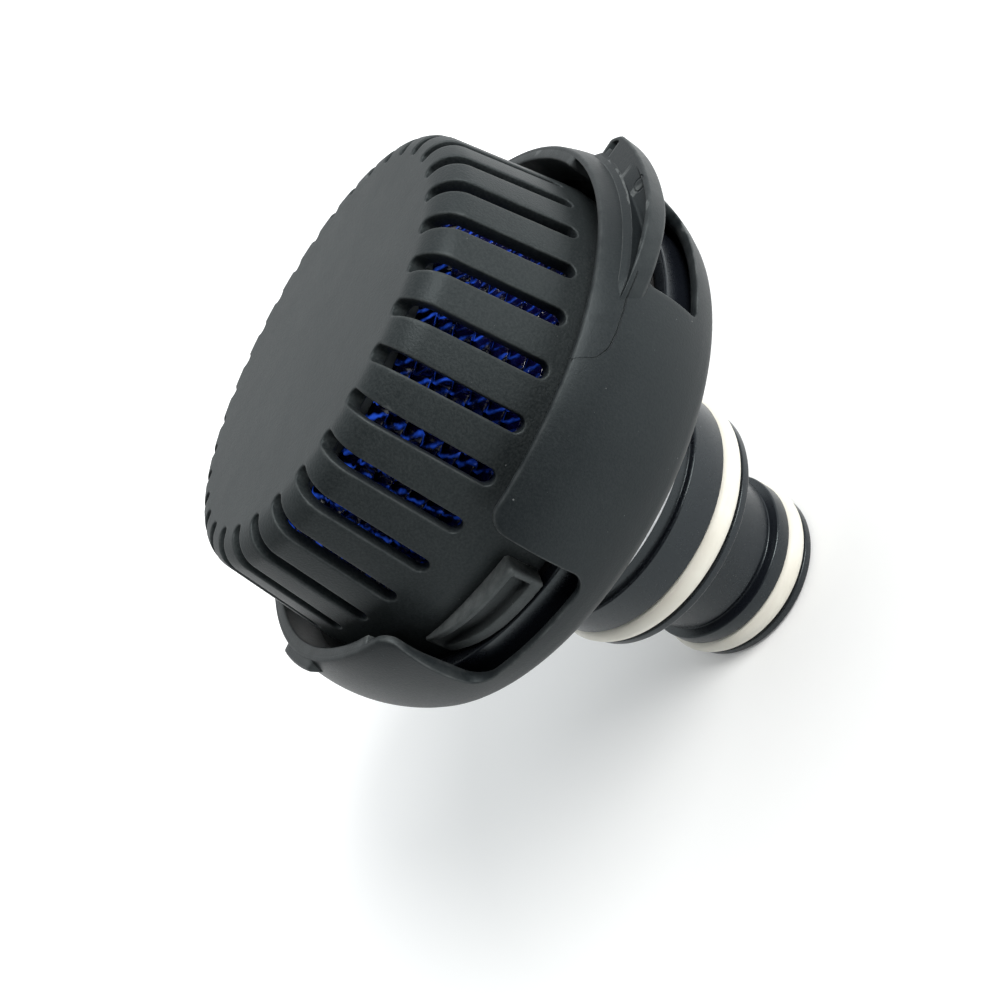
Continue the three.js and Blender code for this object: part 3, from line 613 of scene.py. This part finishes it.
# Closed window: rings from a rectangle on the unrolled wall to the window's rounded outline, through
# the wall and out again inside. The strip over the rim is a second grid.
def windowColumns(centre):
    e = collar["edge"]
    half = collar["windowWidth"] / 2
    outer = half + collar["margin"]
    zBase = zRim - collar["baseBelowRim"]
    zLow, zHigh = zRim - collar["windowBelowRim"], zRim - collar["bridge"]
    wide, tall = 26, collar["rows"]
    toDegrees = 180 / np.pi / collar["chart"]
    corners = [(-outer, zBase), (outer, zBase), (outer, zRim - e), (-outer, zRim - e)]
    steps = [wide, tall, wide, tall]
    edges = [np.linspace(corners[k], corners[(k + 1) % 4], steps[k] + 1)[:-1] for k in range(4)]
    frameLine = np.concatenate(edges)

    def outline(offset):
        c = collar["windowCorner"] + offset
        h, a, b = half + offset, zLow - offset, zHigh + offset
        loop = rounded([(-h, a, c), (h, a, c), (h, b, c), (-h, b, c)], perCorner=9)
        middles = [4, 13, 22, 31, 40]
        loop = np.concatenate([loop, loop[:9]])
        sides = [evenly(loop[middles[k]:middles[k + 1] + 1], steps[k] + 1)[:-1] for k in range(4)]
        return np.concatenate(sides)

    rows = []
    for t in (0, 0.3, 0.55, 0.75, 0.9):
        p = (1 - t) * frameLine + t * outline(e)
        rows.append(collarPoint(centre + p[:, 0] * toDegrees, p[:, 1], 0))
    for a in np.linspace(0, np.pi / 2, 4):
        p = outline(e * (1 - np.sin(a)))
        rows.append(collarPoint(centre + p[:, 0] * toDegrees, p[:, 1], e * (1 - np.cos(a))))
    soft = collar["innerEdge"]
    for a in np.linspace(0, np.pi / 2, 5):
        p = outline(soft * (1 - np.cos(a)))
        rows.append(collarPoint(centre + p[:, 0] * toDegrees, p[:, 1], soft * (1 - np.sin(a)), True))
    for t in (0.6, 0):
        p = (1 - t) * frameLine + t * outline(soft)
        rows.append(collarPoint(centre + p[:, 0] * toDegrees, p[:, 1], 0, True))
    x = np.linspace(-outer, outer, wide + 1)
    strip = []
    angles = centre + x * toDegrees
    for a in np.linspace(0, np.pi / 2, 4):
        strip.append(collarPoint(angles, zRim - e * (1 - np.sin(a)), e * (1 - np.cos(a))))
    for a in np.linspace(0, np.pi / 2, 4):
        strip.append(collarPoint(angles, zRim - e * (1 - np.cos(a)), e * (1 - np.sin(a)), True))
    return (np.array(rows), False, True), (np.array(strip), False, False), angles


def collarShell():
    reachAngle = np.degrees((collar["windowWidth"] / 2 + collar["margin"]) / collar["chart"])
    stops = sorted([(a, "notch") for a in collar["notches"]] + [(a, "window") for a in collar["windows"]])
    sheets, baseAngles = [], []
    for k, (centre, kind) in enumerate(stops):
        if kind == "notch":
            sheet, angles = notchColumns(centre)
            sheets.append(sheet)
        else:
            wallSheet, strip, angles = windowColumns(centre)
            sheets += [wallSheet, strip]
        baseAngles.append(angles[:-1])
        nextCentre = stops[(k + 1) % len(stops)][0] + (360 if k == len(stops) - 1 else 0)
        sheet, angles = plainColumns(centre + reachAngle, nextCentre - reachAngle)
        sheets.append(sheet)
        baseAngles.append(angles[:-1])
    angles = np.concatenate(baseAngles)
    zBase = zRim - collar["baseBelowRim"]
    zBowl = zRim - collar["bowlBelowRim"]
    bowlRadius = collarOuter(zBowl)
    zLipTop = zLip + collar["lipHeight"]
    run, rise = bowlRadius - collar["coneRadius"], zBowl - zLip - 1
    inset = collar["wall"] * np.hypot(run, rise) / rise
    zInner = zLipTop + 0.6
    coneAt = collar["coneRadius"] + (zInner - zLip - 1) * run / rise - inset
    zChannel = zLip + 1 + (collar["channelRadius"] + inset - collar["coneRadius"]) * rise / run
    outline = rounded([
        (collarOuter(zBase), zBase),
        (bowlRadius, zBowl, collar["bowlFillet"]),
        (collar["coneRadius"], zLip + 1, 0.9),
        (collar["coneRadius"] - 1.2, zLip, 0.5),
        (collar["lipRadius"], zLip, 0.35),
        (collar["lipRadius"], zLipTop, 0.35),
        (coneAt - 1.5, zLipTop, 0.3),
        (coneAt, zInner, 0.5),
        (collar["channelRadius"], min(zChannel, zBase - 0.4), 1.5),
        (collar["channelRadius"], zBase),
    ], closed=False, perCorner=9)
    sheets.append((polar(outline[:, :1], angles[None], outline[:, 1:]), False, True))
    return sheets


# Solid bar of rounded section between two angles, its ends softened by drawing the section in.
def bar(corners, fromAngle, toAngle, step=1.5, soften=0.3):
    count = int(np.ceil((toAngle - fromAngle) / step)) + 1
    ease = np.degrees(soften / 50)
    middles = np.linspace(fromAngle + ease, toAngle - ease, count)
    angles = np.concatenate([[fromAngle, fromAngle + ease * 0.3], middles, [toAngle - ease * 0.3, toAngle]])
    section = rounded(corners, perCorner=4)
    middle = section.mean(0)
    shrink = np.ones(len(angles))
    size = np.abs(section - middle).max()
    shrink[[0, -1]] = 1 - soften / size
    shrink[[1, -2]] = 1 - 0.3 * soften / size
    return carried(middle + (section - middle) * shrink[:, None, None], angles)


# Thick part of the rim, and the stops in the channel that the lugs meet.
def collarLedges():
    top, low = zRim - 0.02, zRim - collar["ledgeHeight"]
    inner, outer = collar["ledgeRadius"], collar["rimInner"] + 0.35
    corners = [(inner, low, 0.4), (outer, low, 0.1), (outer, top, 0.1), (inner, top, 0.45)]
    sheets = [bar(corners, a, b) for a, b in collar["thickRim"]]
    zLugLow, outer = zRim - cage["lugBelowRim"] - cage["lugHeight"], collar["stopRadius"]
    stopTop = low - 0.02
    corners = [(inner, zLugLow, 0.3), (outer, zLugLow, 0.3), (outer, stopTop, 0.2), (inner, stopTop, 0.2)]
    for centre in collar["notches"]:
        for a, b in collar["stops"]:
            sheets.append(bar(corners, centre + a, centre + b))
    return sheets


# Grip ear. At each angle: a section with a raised lip beside the wall, a hollow behind it and a thin
# outer band. The outer radius rises to full at once at the square end and sinks as a quarter sine into
# the wall at the other.
ear = dict(fromAngle=-17.0, toAngle=-63.0, radius=56.8, low=7.8, top=4.0, band=1.0, hollow=3.0, lip=0.3,
           steps=80, pocketFrom=54.0, pocketTo=56.2, pocketDepth=1.3)


def earSections():
    t = np.linspace(0, 1, ear["steps"])
    t = np.concatenate([[0, 0.004, 0.012, 0.024, 0.03], t[t > 0.034]])
    angles = ear["fromAngle"] + (ear["toAngle"] - ear["fromAngle"]) * t
    rise = np.minimum(np.minimum(1, 0.72 + 4 * t), np.sin(np.minimum(1, (1 - t) * 2.1) * np.pi / 2))
    wallAt = collarOuter(zRim - ear["top"])
    sink = smooth((t - 0.9) / 0.1)
    lipAt = wallAt + ear["lip"] * (1 - sink) - 0.5 * sink
    outer = wallAt - 0.35 + (ear["radius"] - wallAt + 0.35) * rise
    main = ear["hollow"] * smooth((t - 0.30) / 0.5) * smooth((1 - t) / 0.12)
    pocket = ear["pocketDepth"] * smooth((t - 0.045) / 0.012) * smooth((0.085 - t) / 0.012)
    draw = 0.5 * (1 - np.clip(t / 0.02, 0, 1)) ** 2
    low, top = zRim - ear["low"], zRim - ear["top"]
    sections = []
    for r, lip, d, dip, i in zip(outer, lipAt, main, pocket, draw):
        room = max(r - i - lip, 0.3)
        inside = lip + min(0.6, 0.3 * room)
        bandAt = max(r - i - min(ear["band"], 0.3 * room), inside + 0.1)
        start = inside + 0.04
        if dip > 0:
            start, bandAt, d = ear["pocketFrom"], min(ear["pocketTo"], bandAt), dip
        floor = top - d - i - 0.01
        sections.append(rounded([
            (wallAt - 1.4, low + i), (r - i, low + i, 0.9), (r - i, top - i, 0.45), (bandAt, top - i, 0.3),
            (bandAt - min(0.2, 0.1 * room), floor, 0.5), (start + 0.02, floor, 0.5),
            (start, top - i, 0.1), (inside, top - i, 0.1),
            (lip + 0.25, top + 0.12, 0.3), (lip - 0.45, top + 0.75, 0.6),
            (wallAt - 1.4, top + 1.6)], closed=False, perCorner=5))
    return carried(np.array(sections), angles)


def tabSections():
    low, top = zRim - 3.2, zRim - 0.25
    corners = [(49.6, low, 0.2), (51.6, low, 0.5), (52.3, top - 0.5, 0.5), (51.8, top, 0.4), (49.6, top, 0.2)]
    return bar(corners, 180.0, 196.0)


# Faint wavy step left by the moulding beside the ear, and the ejector mark on the ear's face.
def collarMarks(tree, where):
    parts = tree.nodes.new("ShaderNodeSeparateXYZ")
    tree.links.new(where, parts.inputs[0])
    x, y, z = parts.outputs
    angle = calc(tree, "MULTIPLY", calc(tree, "ARCTAN2", y, x), 180 / np.pi)
    wobble = spread(tree, noise(tree, where, 260, 1), 0.3, 0.7, -0.7, 0.7)
    drop = calc(tree, "DIVIDE", calc(tree, "SUBTRACT", zRim * mm, z), mm)
    # the line falls from the rim, then runs level towards the ear:
    # drop = 4.9 * (1 - exp(-(angle + 75) / 2.4))
    along = calc(tree, "MAXIMUM", calc(tree, "ADD", calc(tree, "ADD", angle, 75.0), wobble), 0.0)
    curve = calc(tree, "EXPONENT", calc(tree, "MULTIPLY", along, -1 / 2.4))
    line = calc(tree, "MULTIPLY", calc(tree, "SUBTRACT", 1.0, curve), 4.9)
    step = spread(tree, calc(tree, "SUBTRACT", line, drop), -0.06, 0.06, 0, 1)
    crack = spread(tree, calc(tree, "ABSOLUTE", calc(tree, "SUBTRACT", line, drop)), 0.02, 0.13, 0, 1)
    past, before = calc(tree, "GREATER_THAN", angle, -75.5), calc(tree, "LESS_THAN", angle, -57.0)
    inside = calc(tree, "MULTIPLY", past, before)
    step = calc(tree, "MULTIPLY", step, inside)
    crack = calc(tree, "SUBTRACT", 1.0, calc(tree, "MULTIPLY", calc(tree, "SUBTRACT", 1.0, crack), inside))
    mark = tree.nodes.new("ShaderNodeVectorMath")
    mark.operation = "DISTANCE"
    tree.links.new(where, mark.inputs[0])
    a = np.radians(-37.2)
    mark.inputs[1].default_value = (0.0548 * np.cos(a), 0.0548 * np.sin(a), (zRim - ear["top"]) * mm)
    ring = calc(tree, "ABSOLUTE", calc(tree, "SUBTRACT", mark.outputs["Value"], 0.0013))
    groove = spread(tree, ring, 0.00005, 0.00025, 0, 1)
    return [(step, 1.0, 0.0003), (crack, 1.0, 0.0005), (groove, 0.8, 0.0002)]


collarPlastic = mouldedPlastic("collar plastic", collarLook, collarMarks)
piece("collar_shell", collarShell(), collarPlastic, "collar", ["lock_collar"])
piece("collar_ledges", collarLedges(), collarPlastic, "collar")
piece("grip_ear", [earSections()], collarPlastic, "collar")
piece("rim_tab", [tabSections()], collarPlastic, "collar")
print("strainer: collar made")


smallLow, smallHigh = span("small_o_ring")
bigLow, bigHigh = span("large_o_ring")
smallCrown, bigCrown = reach("small_o_ring"), reach("large_o_ring")
zCup = span("spigot_body")[1]
spigot = dict(bore=12.0, proud=0.9, neck=17.3, neckGroove=0.6, land=3.4, thinFlange=1.8, shoulder=7.6,
              recess=5.6, recessRadius=25.0, ringSeat=1.0, ringThickness=1.6, plateFloor=3.85,
              cupOuter=48.5, wallInner=45.9, cupFoot=30.4, cupTurn=47.6, socket=14.9, sides=160)


def bodyOutline():
    smallLand, bigLand = smallCrown - spigot["proud"], bigCrown - spigot["proud"]
    smallCord, bigCord = smallHigh - smallLow, bigHigh - bigLow
    a, b = smallLow - 0.1, smallHigh + 0.1
    c, d = bigLow - 0.1, bigHigh + 0.1
    thin = c - spigot["thinFlange"]
    shoulder = d + spigot["shoulder"]
    seat = shoulder + spigot["recess"]
    floor = seat + spigot["ringThickness"] + spigot["plateFloor"] + 0.05
    neck = spigot["neck"]
    smallFloor, bigFloor = smallCrown - smallCord - 0.05, bigCrown - bigCord - 0.05
    return rounded([
        (spigot["bore"], 0, 0.5), (smallLand - 0.8, 0, 0.35), (smallLand, 0.8, 0.35), (smallLand, a, 0.25),
        (smallFloor, a, 0.4), (smallFloor, b, 0.4), (smallLand, b, 0.25),
        (smallLand, b + spigot["land"], 0.4), (neck - spigot["neckGroove"], b + spigot["land"] + 0.3, 0.3),
        (neck - spigot["neckGroove"], b + spigot["land"] + 1.2, 0.3), (neck, b + spigot["land"] + 1.5, 0.4),
        (neck, thin, 1.6), (bigLand, thin, 0.5), (bigLand, c, 0.25), (bigFloor, c, 0.4),
        (bigFloor, d, 0.4), (bigLand, d, 0.25), (bigLand, shoulder, 0.5),
        (spigot["recessRadius"], shoulder, 0.3), (spigot["recessRadius"], seat, 0.25),
        (spigot["recessRadius"] - spigot["ringSeat"], seat, 0.1),
        (spigot["recessRadius"] - spigot["ringSeat"], seat + spigot["ringThickness"] + 0.05, 0.1),
        (bigLand, seat + spigot["ringThickness"] + 0.05, 0.2), (bigLand, floor, 0.3),
        (spigot["cupFoot"], floor, 0.5), (spigot["cupTurn"] - 3.5, floor + 8.6, 2.0),
        (spigot["cupOuter"], floor + 12.1, 1.5), (spigot["cupOuter"], zCup, 0.4),
        (spigot["wallInner"], zCup, 0.4),
        (spigot["wallInner"], zSkirt - 0.05, 0.3), (41.2, zSkirt - 0.05, 0.5), (41.2, zSkirt - 3.5, 1.0),
        (spigot["cupFoot"] - 1, floor + 3.4, 1.0), (spigot["socket"], floor + 3.4, 0.4),
        (spigot["socket"], shoulder + 3, 0.3), (spigot["bore"], shoulder + 3, 0.3)])


# O-ring section: a circle with a low moulding seam at its crown and its bore.
def ringOutline(crown, low, high, seam=0.05, points=36):
    a = np.arange(points) / points * 2 * np.pi
    cord = (high - low) / 2
    bulge = cord + seam * np.exp(-((np.sin(a) / 0.09) ** 2))
    return np.stack([crown - cord - seam + bulge * np.cos(a), (low + high) / 2 + bulge * np.sin(a)], -1)


piece("spigot", [turned(bodyOutline(), spigot["sides"])], bodyPlastic, "body",
      ["spigot_body"])
piece("seal_large", [turned(ringOutline(bigCrown, bigLow, bigHigh), 144)], ivoryRubber, "body",
      ["large_o_ring"])
piece("seal_small", [turned(ringOutline(smallCrown, smallLow, smallHigh), 128)], ivoryRubber, "body",
      ["small_o_ring"])
clipLow, clipHigh = span("retaining_ring")
washerLow, washerHigh = span("thrust_washer")
washerReach = reach("thrust_washer")
clipInner, clipOuter, washerInner = 24.15, 29.8, 26.6
clipCorners = [(clipInner, clipLow, 0.25), (clipOuter, clipLow, 0.3), (clipOuter, clipHigh, 0.3),
               (clipInner, clipHigh, 0.25)]
piece("snap_ring", [bar(clipCorners, 12.0, 348.0, step=2.5)], springSteel, "body",
      ["retaining_ring"])
washerOutline = rounded([(washerInner, washerLow, 0.2), (washerReach, washerLow, 0.25),
                         (washerReach, washerHigh, 0.25), (washerInner, washerHigh, 0.2)], perCorner=4)
piece("glide_washer", [turned(washerOutline, 128)], innerPlastic, "body", ["thrust_washer"])
print("strainer: spigot made")


filterRing = dict(bore=29.0, radius=36.5, vDepth=2.4, teeth=96, toothDepth=0.4, columns=576)


# Grooved ring: a V-shaped rim whose flanks carry fine radial teeth. The tooth height is the size of a
# cosine of the angle, strongest half way down the flank.
def ringSheet(low, high, phase):
    bore, crown = filterRing["bore"], filterRing["radius"]
    middle, root = (low + high) / 2, crown - filterRing["vDepth"]
    r = np.array([bore, bore + 0.3, root - 0.6, root, root + 0.8, root + 1.6, crown - 0.12, crown,
                  crown - 0.12, root + 1.6, root + 0.8, root, root - 0.6, bore + 0.3])
    half = (high - low) / 2
    h = np.array([0.0, -half, -half, -half + 0.05, -half * 0.67, -half * 0.34, -0.12, 0.0, 0.12, half * 0.34,
                  half * 0.67, half - 0.05, half, half])
    weight = np.array([0, 0, 0, 0.4, 1, 1, 0.7, 0.5, 0.7, 1, 1, 0.4, 0, 0])
    angle = np.arange(filterRing["columns"]) * 360 / filterRing["columns"]
    wave = np.abs(np.cos(np.radians(angle * filterRing["teeth"] / 2 + phase)))
    drop = filterRing["toothDepth"] * weight[:, None] * wave[None]
    return polar(r[:, None] - drop, angle[None], middle + h[:, None]), True, True


for k in range(8):
    name = "filter_ring_%d" % (k + 1)
    low, high = span(name)
    piece("disc_%d" % (k + 1), [ringSheet(low, high, 23.0 * k)], ringPlastic, "body", [name])


# Spring wire: a circle carried along a helix, its ends closed to a point.
spring = dict(radius=21.8, wire=2.2, turns=3.5, stepsPerTurn=48, around=16)


def springWire():
    low, high = span("pack_spring")
    low, high = low + spring["wire"] / 2, high - spring["wire"] / 2
    t = np.linspace(0, 1, int(spring["turns"] * spring["stepsPerTurn"]) + 1)
    turn = t * spring["turns"] * 2 * np.pi
    z = low + (high - low) * t
    a = np.arange(spring["around"]) / spring["around"] * 2 * np.pi
    r = spring["radius"] + spring["wire"] / 2 * np.cos(a)[None]
    ring = polar(r, np.degrees(turn)[:, None], z[:, None] + spring["wire"] / 2 * np.sin(a)[None])
    middle = ring.mean(axis=1, keepdims=True).repeat(ring.shape[1], 1)
    return np.concatenate([middle[:1], ring, middle[-1:]]), False, True


piece("pressing_spring", [springWire()], springSteel, "body", ["pack_spring"])

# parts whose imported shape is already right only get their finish
for name, material in (("cage_seal", blackRubber), ("core_seal", blackRubber), ("core_spine", innerPlastic),
                       ("back_plate", innerPlastic), ("front_plate", innerPlastic),
                       ("core_washer", springSteel), ("core_screw", springSteel)):
    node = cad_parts[name]
    node.data.materials.clear()
    node.data.materials.append(material)
print("strainer: filter made")


studio = dict(camera=(-0.00728, -0.17939, 0.1544), right=(0.45962, -0.40299, -0.79142),
              up=(0.88803, 0.22141, 0.40298), lens=37.9, floorSize=30.0,
              nearGlow=0.13, farGlow=0.75, dimWorld=0.04, brightWorld=1.15)


# Matt white table; far from the object it glows a little, like paper that runs out into the light.
def floorMaterial():
    m, tree, shader, where = newMaterial("pale table")
    cloud = spread(tree, noise(tree, where, 3, 3), 0.3, 0.7, 0, 1)
    base = blendColour(tree, cloud, (0.86, 0.87, 0.87), (0.9, 0.905, 0.905))
    tree.links.new(base, shader.inputs["Base Color"])
    shader.inputs["Roughness"].default_value = 0.7
    shader.inputs["Specular IOR Level"].default_value = 0.2
    far = tree.nodes.new("ShaderNodeVectorMath")
    far.operation = "LENGTH"
    tree.links.new(where, far.inputs[0])
    glow = spread(tree, far.outputs["Value"], 0.10, 0.30, studio["nearGlow"], studio["farGlow"])
    parts = tree.nodes.new("ShaderNodeSeparateXYZ")
    tree.links.new(where, parts.inputs[0])
    glow = calc(tree, "MULTIPLY", glow, spread(tree, parts.outputs[1], -0.40, -0.12, 0, 1))
    shader.inputs["Emission Color"].default_value = (1, 1, 1, 1)
    tree.links.new(glow, shader.inputs["Emission Strength"])
    return m


def tableFloor():
    r = np.array([0, 0.1, 0.5, 2.0, studio["floorSize"]])
    grid = polar(r[:, None], (np.arange(96) * 3.75)[None], np.zeros((5, 1)))
    mesh = bpy.data.meshes.new("table")
    mesh.from_pydata(grid.reshape(-1, 3).tolist(), [], quads(len(r), 96, False, True)[:, ::-1].tolist())
    mesh.materials.append(floorMaterial())
    obj = bpy.data.objects.new("table", mesh)
    bpy.context.scene.collection.objects.link(obj)
    obj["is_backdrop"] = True


def softLight(name, place, target, size, power, colour=(1, 1, 1)):
    lamp = bpy.data.lights.new(name, "AREA")
    lamp.shape = "DISK"
    lamp.size = size
    lamp.energy = power
    lamp.color = colour
    obj = bpy.data.objects.new(name, lamp)
    bpy.context.scene.collection.objects.link(obj)
    obj.location = place
    obj.rotation_euler = (Vector(target) - Vector(place)).to_track_quat("-Z", "Y").to_euler()


def placeCamera():
    right, up = Vector(studio["right"]), Vector(studio["up"])
    back = right.cross(up)
    data = bpy.data.cameras.new("camera")
    data.lens = studio["lens"]
    data.sensor_width = 36.0
    data.clip_start = 0.005
    obj = bpy.data.objects.new("camera", data)
    bpy.context.scene.collection.objects.link(obj)
    obj.matrix_world = Matrix.Translation(studio["camera"]) @ Matrix((right, up, back)).transposed().to_4x4()
    bpy.context.scene.camera = obj


placeCamera()
tableFloor()
centre = Vector((0, 0, 0.07))
# one soft key light from the top of the view, on the near side
softLight("key soft light", centre + Vector((0.66, -0.62, 0.60)) * 0.75, centre, 0.45, 7.2, (1.0, 0.99, 0.97))


# Room of soft light: bright beyond the object and over the top of the view, dim behind the camera.
def softRoom():
    room = bpy.data.worlds.new("studio")
    room.use_nodes = True
    tree = room.node_tree
    background = next(n for n in tree.nodes if n.type == "BACKGROUND")
    background.inputs["Color"].default_value = (0.96, 0.99, 1.0, 1)
    facing = tree.nodes.new("ShaderNodeVectorMath")
    facing.operation = "DOT_PRODUCT"
    tree.links.new(tree.nodes.new("ShaderNodeTexCoord").outputs["Generated"], facing.inputs[0])
    facing.inputs[1].default_value = Vector((0.30, 0.80, 0.52)).normalized()
    level = spread(tree, facing.outputs["Value"], -0.25, 0.75, studio["dimWorld"], studio["brightWorld"])
    tree.links.new(level, background.inputs["Strength"])
    return room


bpy.context.scene.world = softRoom()
bpy.context.scene.view_settings.view_transform = "Standard"
print("strainer: studio ready")

low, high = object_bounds()
